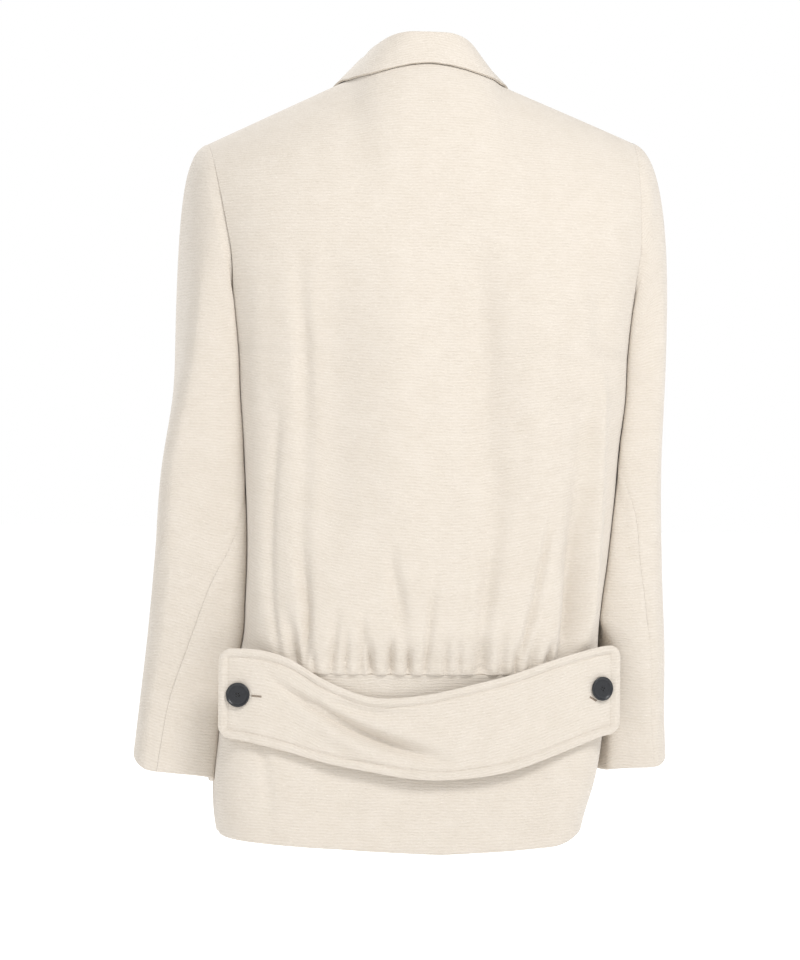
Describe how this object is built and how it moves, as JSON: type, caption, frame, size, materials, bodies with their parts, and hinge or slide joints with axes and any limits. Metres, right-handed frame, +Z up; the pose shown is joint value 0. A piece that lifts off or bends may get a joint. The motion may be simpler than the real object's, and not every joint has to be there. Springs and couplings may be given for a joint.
{
  "type": "single-breasted blazer",
  "caption": "Worn-shape single-breasted wool blazer, open at neck, cuffs and hem, with notched lapels, a gathered back and a loose half belt buttoned across it.",
  "frame": {"origin": "between the two shoulder seams, where the wearer's shoulders carry the jacket", "axes": "+Z up; the back faces +Y and the fronts face -Y; +X is the wearer's left"},
  "size_m": [0.554, 0.2716, 0.8368],
  "materials": {
    "wool": "brushed cream wool with fine cross ribs",
    "button": "satin, near-black navy"
  },
  "bodies": {
    "root": {"back": "wool", "back_band": "wool", "front_left": "wool", "front_right": "wool", "lapel_left": "wool", "lapel_right": "wool", "collar": "wool", "sleeve_left_top": "wool", "sleeve_left_under": "wool", "sleeve_right_top": "wool", "sleeve_right_under": "wool", "half_belt": "wool", "belt_button_left": "button", "belt_button_right": "button", "front_button_upper": "button", "front_button_lower": "button"}
  },
  "joints": []
}
